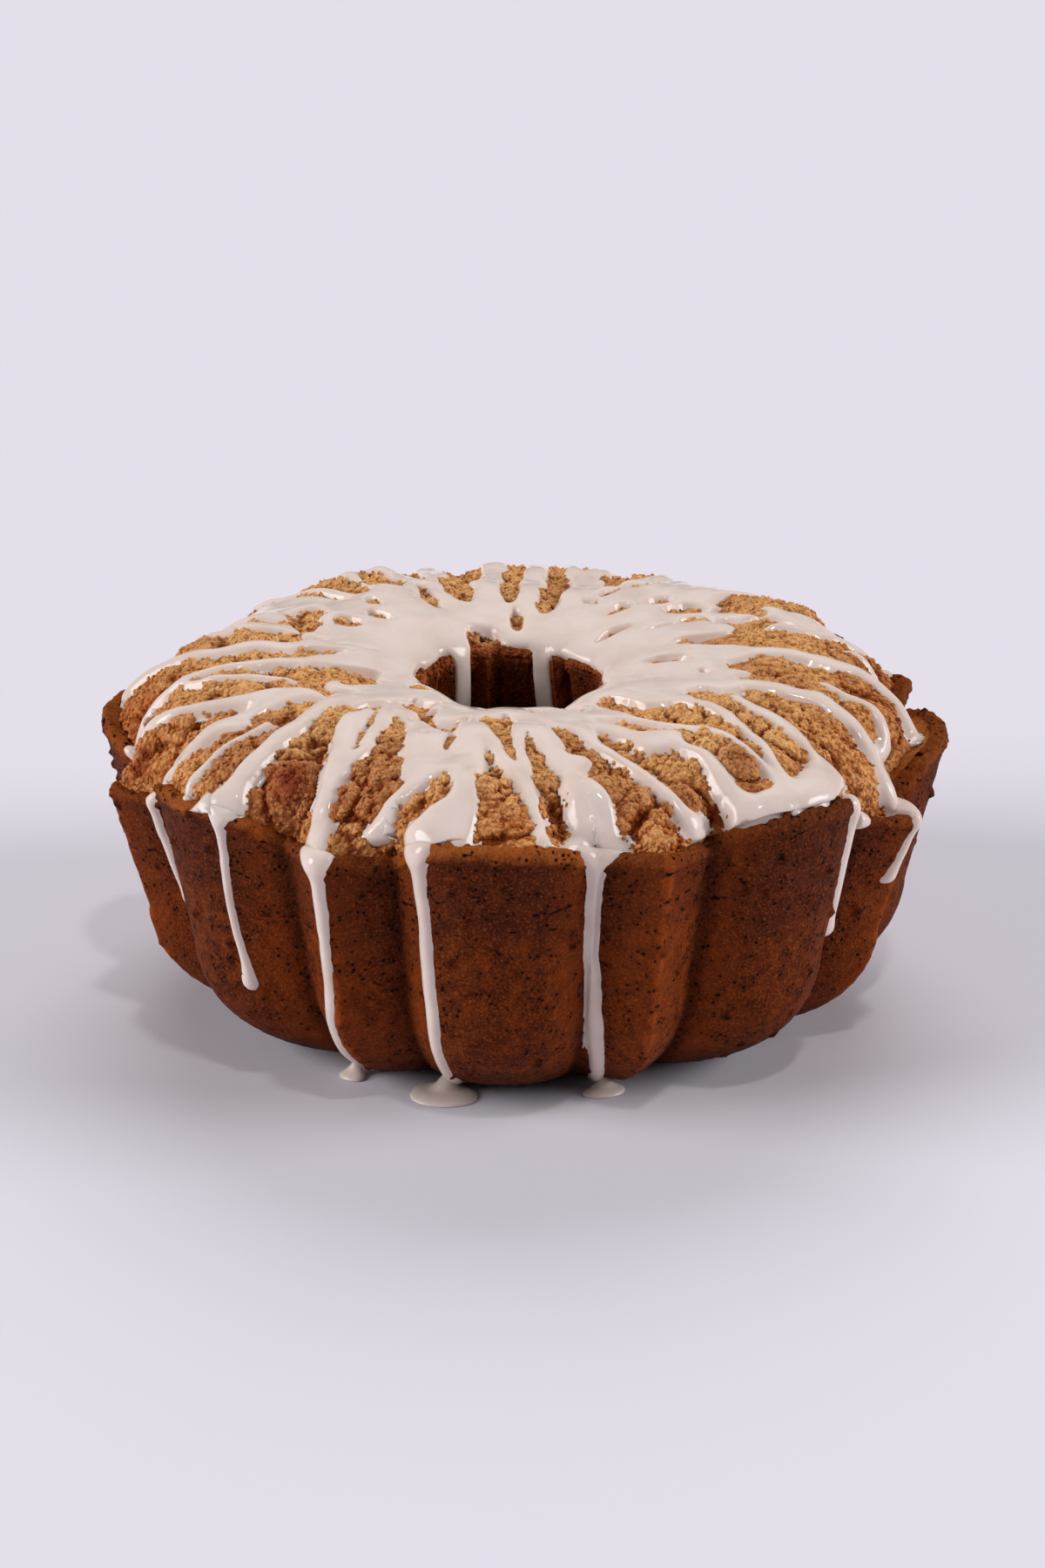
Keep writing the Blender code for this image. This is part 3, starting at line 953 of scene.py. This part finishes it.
POOLS = (
    # azimuth, reach, half size across and along in mm, height beside a strand's
    (-14.5, 80, 9.0, 7.5, 1.1),
    (-11.5, 110, 7.5, 5.0, 1.4),
    (-13.6, 118, 3.2, 5.0, 1.2),
    (10.3, 119, 3.4, 5.0, 1.2),
    (-10, 104, 4.5, 3.5, 1.1),
    (-27.5, 119, 4.6, 6.0, 1.1),
    (-43.5, 116, 4.8, 5.0, 1.5),
    (9.5, 114, 7.5, 3.2, 1.5),
    (10.5, 83, 3.2, 2.6, 1.1),
    (10.5, 102, 4.2, 5.0, 1.1),
    (28, 79, 5.5, 2.8, 1.1),
    (34.5, 110, 7.0, 4.6, 1.7),
    (41, 109, 8.0, 4.6, 1.7),
    (49, 105.5, 9.0, 4.6, 1.7),
    (56, 118, 3.2, 6.5, 1.4),
    (68, 109, 10.0, 6.0, 1.8),
    (66, 116, 4.0, 5.5, 1.4),
    (47, 50, 15.0, 7.5, 1.1),
    (65, 50, 14.0, 8.0, 1.1),
    (-63, 114, 5.0, 4.5, 1.4),
    (177.3, 80, 2.6, 24.0, 1.0),
)
BARE_PATCHES = (
    # azimuth, reach, half size across and along in mm
    (-15.2, 75, 0.9, 2.6),
    (-21, 72, 1.0, 1.4),
    (-4, 60, 1.6, 4.0),
    (-11.5, 40, 2.2, 4.5),
    (21, 40, 3.4, 7.0),
    (37, 50, 3.6, 8.0),
    (40, 62, 4.0, 5.5),
    (56, 63, 4.5, 5.5),
    (76, 55, 1.6, 1.6),
    (88, 44, 1.1, 4.4),
    (82, 73, 5.5, 10.0),
    (102, 56, 2.6, 7.5),
    (104, 77, 7.0, 12.0),
    (119, 77, 3.0, 3.0),
    (114, 66, 1.8, 2.6),
    (120, 60, 2.6, 4.0),
    (131, 64, 4.2, 4.6),
    (120, 49, 1.0, 3.2),
    (130, 40, 1.3, 5.0),
    (140, 64, 2.2, 3.8),
    (143, 50, 2.2, 4.8),
    (155, 52, 3.2, 1.4),
    (154, 66, 2.0, 7.5),
    (170.5, 58, 3.4, 15.0),
    (183.5, 63, 2.8, 14.0),
    (180, 38.5, 1.5, 3.5),
    (198, 65, 4.0, 12.0),
    (209, 58, 1.8, 9.0),
    (213, 77, 4.0, 6.5),
    (199, 31, 4.5, 4.5),
    (226, 63, 2.0, 3.2),
    (233, 54, 2.2, 4.6),
    (243, 57, 3.4, 4.0),
    (241, 72, 6.0, 5.0),
    (253, 65, 2.6, 4.6),
    (-90, 57, 1.8, 6.5),
    (-92, 27, 6.0, 2.5),
    (-60, 27, 4.5, 1.8),
    (-54, 36, 1.8, 1.8),
    (-22, 27, 2.0, 1.8),
    (32, 27.5, 5.5, 2.3),
    (-72, 58, 3.4, 3.4),
    (-68, 47, 2.6, 1.2),
    (-66, 67, 4.5, 4.0),
    (-57, 60.5, 2.6, 4.5),
    (-42, 62, 2.2, 7.0),
    (-35, 49, 2.0, 5.0),
    (-29, 55, 1.8, 5.0),
)


def wander(reach, width, seed):
    """A seeded sideways sway along a strand, in mm."""
    line = np.stack([reach, np.full_like(reach, 7.3 * seed), np.zeros_like(reach)], axis=-1)
    return width * (noise(line, 11.0, 50 + seed) + 0.5 * noise(line, 5.0, 90 + seed))


def back_strands():
    """Strands for the half of the dome that the front ones leave bare, spaced by a seeded rule."""
    chance = np.random.default_rng(5)
    strands = []
    azimuth = 115.0
    while azimuth < 257:
        start = azimuth + chance.uniform(-3, 3)
        end = azimuth + chance.uniform(-5, 5)
        middle = (start + end) / 2 + chance.uniform(-4, 4)
        strands.append((start, middle, end, 42, chance.uniform(92, 121), chance.uniform(1.6, 3.8)))
        azimuth += chance.uniform(6.0, 9.5)
    return strands


def all_runs():
    """Every strand and drip, as a strand's six values and the swelling of its end (0 for a strand)."""
    runs = [(*strand, 0.0) for strand in (*STRANDS, *back_strands())]
    runs += [
        (start, middle, end, DRIP_START, stop, width, drop) for start, middle, end, stop, width, drop in DRIPS
    ]
    return runs + [(*strand, 0.0) for strand in FEEDERS]


def run_shape(run, number, degrees, reach, line, radius):
    """One run: how far each place is to its side and past its ends, how wide it is and how tall."""
    start, halfway, end, first, last, width, drop = run
    share = np.clip((reach - first) / (last - first), 0, 1)
    bow = 4 * halfway - 2 * (start + end)
    middle = start + (end - start) * share + bow * share * (1 - share)
    sway = wander(reach.ravel(), 0.3 if drop else 0.8, number).reshape(reach.shape)
    uneven = wander(reach.ravel(), 1.0, 200 + number).reshape(reach.shape)
    swell = 1 + (0.10 if drop else 0.32) * uneven
    swell = np.clip(swell, 0.85, 1.6) + 0.9 * np.exp(-np.clip(reach - 46, 0, None) / 13)
    if drop:
        swell = swell + (drop - 1) * np.exp(-(((reach - last + 1.5) / 3.0) ** 2))
        swell = swell + 0.5 * np.exp(-(((reach - 120) / 6.0) ** 2))
    across = np.radians(turn_from(degrees, middle)) * radius + sway
    lean = np.radians((end - start) / (last - first)) * radius
    across = across / np.sqrt(1 + lean**2)
    half = width * swell
    beyond = np.maximum(np.maximum(first - line, line - last), 0) * 1.1
    tall = np.clip(half / 2.0, 0.65, 1.15)
    if drop > 1:
        tall = tall + 0.35 * np.exp(-(((reach - last + 1.5) / 2.6) ** 2))
    return across, beyond, half, tall


def glaze_parts(degrees, reach, line, radius):
    """Each run down the hole, strand, drip and pool, as run_shape gives them."""
    for azimuth, last, half in HOLE_RUNS:
        beyond = np.maximum(np.maximum(last - line, line - 36), 0)
        yield np.radians(turn_from(degrees, azimuth)) * radius, beyond, half, 0.9
    for number, run in enumerate(all_runs()):
        yield run_shape(run, number, degrees, reach, line, radius)
    for azimuth, middle, wide, long, tall in POOLS:
        yield np.radians(turn_from(degrees, azimuth)) * radius, (line - middle) * wide / long, wide, tall


def glaze_sheet(degrees, line, flat):
    """The sheet round the hole, which runs a little way down into it and has bare islands."""
    turn = np.radians(degrees)
    edge = 64 - 8 * np.cos(turn) + 5 * noise(flat, 12 * MM, 61)
    lower = 25.5 + 3.5 * noise(flat, 10 * MM, 62)
    sheet = 1.2 / (1 + np.exp((line - edge) / 1.6)) / (1 + np.exp((lower - line) / 0.8))
    rolled = np.stack([60 * np.sin(turn) + 0 * line, 60 * np.cos(turn) + 0 * line, 0.45 * line], axis=-1)
    island = np.clip((noise(rolled, 5.5, 63) - 0.36) * 6, 0, 1.4) * np.clip((line - 38) / 6, 0, 1)
    return sheet * np.clip(1 - island, 0, 1)


def bareness(degrees, line, flat, radius):
    """How far the bare patches keep the glaze away, over 1 where nothing is left."""
    bare = np.zeros(radius.shape)
    uneven = 1.2 * noise(flat, 5 * MM, 64)
    slant = 0.1 + 0.25 * noise(flat, 30 * MM, 65)
    for azimuth, middle, wide, long in BARE_PATCHES:
        away = line - middle + uneven
        gap = np.radians(turn_from(degrees, azimuth)) * radius + slant * away
        bare = bare + 1.6 * 0.5 ** ((((gap + 0.5 * uneven) / wide) ** 2 + (away / long) ** 2) / 1.1)
    return bare


def glaze_field(degrees, reach, points):
    """How much glaze gathers at each place (it shows where this is over 0.5), and how tall it stands."""
    radius = np.hypot(points[..., 0], points[..., 1]) / MM
    line = np.broadcast_to(reach, radius.shape)
    gathered = np.zeros(radius.shape)
    weighed = np.zeros(radius.shape)
    for across, along, half_width, tall in glaze_parts(degrees, reach, line, radius):
        share = 0.5 ** ((across**2 + along**2) / half_width**2)
        gathered += share
        weighed += share * tall
    flat = points * [1, 1, 0.5]
    sheet = glaze_sheet(degrees, line, flat)
    total = (gathered + sheet) * np.clip(1 - bareness(degrees, line, flat, radius), 0, 1)
    return total, (weighed + sheet * 1.1) / np.maximum(gathered + sheet, 1e-6)


def glaze_grid():
    """The smooth skin under the glaze, from the foot of the wall over the dome and into the hole."""
    wall_rows, lip_rows, outer_rows, inner_rows, hole_rows = 118, 14, 84, 66, 30
    degrees, dome, dome_reach = dome_grid(GLAZE_COLUMNS, outer_rows, inner_rows)
    lift, _ = swells(dome)
    loose = firmness(dome_reach)
    relief = (lift + crumble(dome)) * loose
    flowed = np.clip((dome_reach - 50) / 20, 0, 1)
    relief = eased(blurred(relief, 14, 9), blurred(relief, 4, 3), flowed) + eased(0.9, 0.5, flowed) * loose
    dome = dome + normals(dome) * relief[..., None] * MM
    dome[..., 2] += (FOOT_DROP - FOOT_FILL) * np.clip((dome_reach - 104) / 9, 0, 1) ** 1.5

    flute = flute_share(degrees)
    crown, crease = wall_section(0.0)[5:85], wall_section(1.0)[5:85]
    edge = RIM_RADIUS - FLUTE_DEPTH * flute - LIP_ROUND
    length = np.concatenate([[0], np.cumsum(np.hypot(*np.diff(crown, axis=0).T))])
    rim_row = int(np.argmax(crown[:, 1]))
    rows = np.linspace(14 * MM, length[rim_row], wall_rows, endpoint=False)
    sampled = [np.interp(rows, length, side[:, axis]) for side in (crown, crease) for axis in (0, 1)]
    radius = eased(sampled[0], sampled[2], flute)
    height = eased(sampled[1], sampled[3], flute)
    rise = np.clip((height - HEEL_HEIGHT) / (RIM_HEIGHT - HEEL_HEIGHT), 0, 1)
    height = height + rise * (rim_height(degrees) - RIM_HEIGHT)
    share = np.arange(lip_rows)[None] / lip_rows
    radius = np.hstack([radius, eased(edge, foot_radius(degrees), share)])
    height = np.hstack([height, rim_height(degrees) - FOOT_FILL * share])
    wall = turned(radius, height, degrees)
    wall_reach = RIM_REACH + (length[rim_row] - rows) / MM
    lip_reach = np.linspace(RIM_REACH, FOOT_REACH, lip_rows, endpoint=False)

    share = np.arange(hole_rows) / hole_rows
    groove = HOLE_FLUTE_DEPTH * flute
    depth = 24 * MM * share
    slope = (HOLE_FOOT_RADIUS - HOLE_RADIUS) / (HOLE_EDGE_HEIGHT - HOLE_FOOT_HEIGHT)
    hole = lean_hole(turned(HOLE_RADIUS + groove + slope * depth, HOLE_EDGE_HEIGHT - depth, degrees))
    hole_reach = HOLE_REACH - depth / MM

    points = np.concatenate([wall, dome, hole], axis=1)
    reach = np.concatenate([wall_reach, lip_reach, dome_reach, hole_reach])
    return degrees, points, reach


def closed_patch(name, top, bottom, kept, material):
    """Turns the kept cells of two matching grids, whose columns go round the cake, into one closed skin."""
    columns, rows = top.shape[:2]
    index = np.arange(columns * rows).reshape(columns, rows)
    beside = np.roll(index, -1, axis=0)
    corners = [index[:, :-1], beside[:, :-1], beside[:, 1:], index[:, 1:]]
    neighbours = [
        np.pad(kept, ((0, 0), (1, 0)))[:, :-1],
        np.roll(kept, -1, axis=0),
        np.pad(kept, ((0, 0), (0, 1)))[:, 1:],
        np.roll(kept, 1, axis=0),
    ]
    below = columns * rows
    faces = [np.stack([corner[kept] for corner in corners], axis=-1)]
    faces.append(faces[0][:, ::-1] + below)
    for side in range(4):
        open_side = kept & ~neighbours[side]
        first, second = corners[side][open_side], corners[(side + 1) % 4][open_side]
        faces.append(np.stack([second, first, first + below, second + below], axis=-1))
    faces = np.concatenate(faces)
    used, faces = np.unique(faces, return_inverse=True)
    points = np.concatenate([top.reshape(-1, 3), bottom.reshape(-1, 3)])[used]
    return mesh_object(name, points, faces.reshape(-1, 4), material)


PUDDLES = (
    # azimuth and distance from the middle of the hole in mm, half width in mm
    (-32.5, 88, 4.5),
    (-14, 89, 10.5),
    (15.5, 87, 6.0),
    (172.5, 86, 7.0),
    (-126, 86, 8.0),
)


def puddles(material):
    """Thin round puddles on the table, each higher where a drip comes down into it."""
    made = bmesh.new()
    for azimuth, away, half_width in PUDDLES:
        ball = bmesh.ops.create_uvsphere(made, u_segments=48, v_segments=24, radius=1.0)["verts"]
        angle = math.radians(azimuth)
        for vertex in ball:
            across, outwards, up = vertex.co
            turn = math.atan2(outwards, across)
            edge = half_width * (1 + 0.10 * math.sin(2 * turn + azimuth) + 0.03 * math.sin(3 * turn + away))
            share = min(1.0, math.hypot(across, outwards))
            across, outwards = across * edge, outwards * edge * 0.75
            rise = 6.0 * math.exp(-(across**2 + (outwards + 2.8) ** 2) / 8.0)
            if up > 0:
                height = 0.2 + (1.3 * max(0.0, 1 - share**3) ** 0.5 + rise * (1 - share))
            else:
                height = 0.2 - 0.2 * (1 - share)
            out = away + outwards
            vertex.co = (
                (out * math.sin(angle) + across * math.cos(angle)) * MM,
                (-out * math.cos(angle) + across * math.sin(angle)) * MM,
                height * MM,
            )
    mesh = bpy.data.meshes.new("glaze_puddles")
    made.to_mesh(mesh)
    made.free()
    mesh.shade_smooth()
    mesh.materials.append(material)
    return new_object("glaze_puddles", mesh)


def glaze(material):
    """The whole glaze as one closed skin that lies on the crust and the crumb."""
    degrees, base, reach = glaze_grid()
    base = blurred(base, 1, 2)
    near_hole = np.clip((44 - reach) / 10, 0, 1)[None, :, None]
    base = eased(base, blurred(base, 12, 3), near_hole)
    outward = normals(base)
    on_dome = np.clip((109 - reach) / 4, 0, 1)[None, :]
    for _ in range(2):
        near = np.sum((blurred(base, 3, 1) - base) * outward, axis=-1)
        wide = np.sum((blurred(base, 8, 1) - base) * outward, axis=-1)
        base = base + outward * np.clip(eased(near, wide, on_dome), 0, None)[..., None]
        outward = normals(base)
    gathered, tall = glaze_field(degrees, reach[None], base)
    full = np.clip((gathered - 0.5) / 0.5, 0, 1) ** 0.4 * tall + 0.12 * np.clip(gathered - 1, 0, 1)
    sunk = np.clip((0.5 - gathered) / 0.22, 0, 1)
    level = np.where(gathered > 0.5, GLAZE_DEPTH * full, -1.5 * sunk)
    level = blurred(level, 1, 1)
    kept = level > -1.35
    kept = kept | np.roll(kept, 1, axis=0)
    kept = kept[:, :-1] | kept[:, 1:]
    kept = kept | np.roll(kept, -1, axis=0)
    on_wall = 0.3 * np.clip((reach - 118) / 4, 0, 1)
    top = base + outward * (level + 0.15 + on_wall)[..., None] * MM
    depth = 2.4 + 1.4 * np.clip(1.5 - np.abs(reach - 110) / 6, 0, 1)
    bottom = base - outward * depth[:, None] * MM
    bottom[..., 2] = np.maximum(bottom[..., 2], 0.5 * MM)
    skin = closed_patch("vanilla_glaze", top, bottom, kept, material)
    thin = skin.modifiers.new("thin", "DECIMATE")
    thin.ratio = min(1.0, GLAZE_TRIANGLES / (2 * len(skin.data.polygons)))
    return baked_mesh(skin)


# Loose crumbs

CRUMB_DENSITY = 330000.0


def crumb_scatter_tree():
    """Scatters small uneven crumbs over the bare parts of a surface."""
    tree, given = new_tree("crumb_scatter", {
        "Density": ("Float", CRUMB_DENSITY),
        "Smallest": ("Float", 0.35 * MM),
        "Largest": ("Float", 0.9 * MM),
        "Unevenness": ("Float", 0.35 * MM),
        "Seed": ("Int", 3),
        "Material": ("Material", None),
    })
    bare = add(tree, "GeometryNodeInputNamedAttribute", "bare", data_type="FLOAT")
    density = add(tree, "ShaderNodeMath", bare, given["Density"], operation="MULTIPLY")
    spots = add(
        tree, "GeometryNodeDistributePointsOnFaces", given["Geometry"],
        named={"Density": density, "Seed": given["Seed"]},
    )
    ball = add(tree, "GeometryNodeMeshIcoSphere", 1.0, 1)
    size = add(
        tree, "FunctionNodeRandomValue", data_type="FLOAT", out=1,
        named={2: given["Smallest"], 3: given["Largest"], "Seed": given["Seed"]},
    )
    turn = add(
        tree, "FunctionNodeRandomValue", data_type="FLOAT_VECTOR",
        named={0: (0, 0, 0), 1: (math.tau, math.tau, math.tau), "Seed": given["Seed"]},
    )
    crumbs = add(
        tree, "GeometryNodeInstanceOnPoints", spots, None, ball, named={"Scale": size, "Rotation": turn}
    )
    whole = add(tree, "GeometryNodeRealizeInstances", crumbs)
    spot = add(tree, "GeometryNodeInputPosition")
    # Each crumb is pushed out of round by bumps of 1.1 mm (a scale of 900 per metre).
    push = add(tree, "ShaderNodeTexNoise", spot, out=1, named={"Scale": 900.0})
    push = add(tree, "ShaderNodeVectorMath", push, (0.5, 0.5, 0.5), operation="SUBTRACT")
    push = add(tree, "ShaderNodeVectorMath", push, operation="SCALE", named={"Scale": given["Unevenness"]})
    push = add(tree, "ShaderNodeVectorMath", push, operation="SCALE", named={"Scale": 4.0})
    uneven = add(tree, "GeometryNodeSetPosition", whole, None, None, push)
    smooth = add(tree, "GeometryNodeSetShadeSmooth", uneven)
    done = add(tree, "GeometryNodeSetMaterial", smooth, named={"Material": given["Material"]})
    tree.links.new(done, tree.nodes.new("NodeGroupOutput").inputs[0])
    return tree


def lean_mesh(thing):
    """Leans a finished mesh the way the hole leans."""
    points = np.empty(3 * len(thing.data.vertices), np.float32)
    thing.data.vertices.foreach_get("co", points)
    leant = lean_hole(points.reshape(-1, 3).astype(float))
    thing.data.vertices.foreach_set("co", leant.astype(np.float32).ravel())


def build():
    """Every piece of the cake, by its material slot."""
    crust, crumbs, icing = moulded_crust(), crumb(), vanilla_glaze()
    tree = fluted_ring_tree()
    wall = fluted_ring(
        "moulded_wall", tree, wall_section, rim_lift(COLUMNS), rim_paleness(COLUMNS), {"Material": crust}
    )
    # The hole has no lip: these heights and this row are past its own.
    no_lip = {"Material": crust, "Lip height": 0.5, "Rim height": 0.6, "Inner row": 999.0}
    level = np.zeros(HOLE_COLUMNS)
    hole = fluted_ring("moulded_hole", tree, hole_section, level, level, no_lip)
    lean_mesh(hole)
    top = crumb_dome(crumbs)
    scatter = crumb_scatter_tree()
    for name, band, seed in (("loose_crumbs_outer", top[0], 3), ("loose_crumbs_inner", top[1], 4)):
        values = {"Material": crumbs, "Density": CRUMB_DENSITY, "Seed": seed}
        top.append(shaped(new_object(name, band.data.copy()), scatter, values))
    return {"moulded_crust": [wall, hole], "crumb_top": top, "vanilla_glaze": [glaze(icing), puddles(icing)]}


for slot, pieces in build().items():
    for piece in pieces:
        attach(piece, "root")
        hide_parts("cake")


SENSOR_MM = 36
FOCAL_PIXELS = 4458.5
PICTURE_PIXELS = 1800
CAMERA_PLACE = (0, -1.070, 0.460)
CAMERA_DOWN = 20.48
CAMERA_ROLL = 0.26
FLOOR_REACH = 6.0
ROOM_LIGHT = 0.07
ROOM_PALENESS = 0.88
SUNS = (
    # name, azimuth and height it shines from in degrees, softness in degrees, strength, seen in gloss
    ("left_window", -77, 24, 36, 2.2, True),
    ("right_window", 86, 23, 33, 1.95, True),
    ("back_window", 176, 42, 45, 1.4, False),
    ("ceiling_lamp", 20, 68, 4, 0.36, True),
)


def set_camera(scene):
    """A long lens that looks down on the cake from the front, as worked out from the photo."""
    lens = bpy.data.cameras.new("camera")
    lens.lens = SENSOR_MM * FOCAL_PIXELS / PICTURE_PIXELS
    lens.sensor_width = SENSOR_MM
    lens.clip_start, lens.clip_end = 0.05, 50
    camera = bpy.data.objects.new("camera", lens)
    camera.location = CAMERA_PLACE
    pitch = Matrix.Rotation(math.radians(90 - CAMERA_DOWN), 3, "X")
    roll = Matrix.Rotation(math.radians(CAMERA_ROLL), 3, "Z")
    camera.rotation_euler = (pitch @ roll).to_euler()
    scene.collection.objects.link(camera)
    scene.camera = camera


def set_floor():
    """A wide pale floor without gloss, so that low views have no glare on it."""
    mesh = bpy.data.meshes.new("floor")
    corners = [(x * FLOOR_REACH, y * FLOOR_REACH, 0) for x, y in ((-1, -1), (1, -1), (1, 1), (-1, 1))]
    mesh.from_pydata(corners, [], [(0, 1, 2, 3)])
    floor = new_object("floor", mesh)
    material, _, shader = new_finish("pale_floor", 0.6)
    shader.inputs["Base Color"].default_value = hex_colour("e5e0ea")
    shader.inputs["Specular IOR Level"].default_value = 0.0
    mesh.materials.append(material)


def set_world(scene):
    """A dim room, but pale to the camera, so that low views have no dark band above the floor."""
    world = bpy.data.worlds.new("soft_room")
    scene.world = world
    world.use_nodes = True
    sky = world.node_tree.nodes["Background"]
    sky.inputs["Color"].default_value = hex_colour("ebe9f4")
    seen = add(world.node_tree, "ShaderNodeLightPath")
    strength = add(world.node_tree, "ShaderNodeMapRange", seen, 0.0, 1.0, ROOM_LIGHT, ROOM_PALENESS)
    world.node_tree.links.new(strength, sky.inputs["Strength"])


def studio():
    """The camera, the floor and the light that the cake is shown in."""
    scene = bpy.context.scene
    scene.view_settings.view_transform = "Standard"
    set_camera(scene)
    set_floor()
    set_world(scene)
    for name, azimuth, height, softness, strength, in_gloss in SUNS:
        lamp = bpy.data.lights.new(name, "SUN")
        lamp.energy, lamp.angle = strength, math.radians(softness)
        holder = bpy.data.objects.new(name, lamp)
        holder.rotation_euler = (math.radians(90 - height), 0, math.radians(azimuth))
        holder.visible_glossy = in_gloss
        scene.collection.objects.link(holder)


studio()
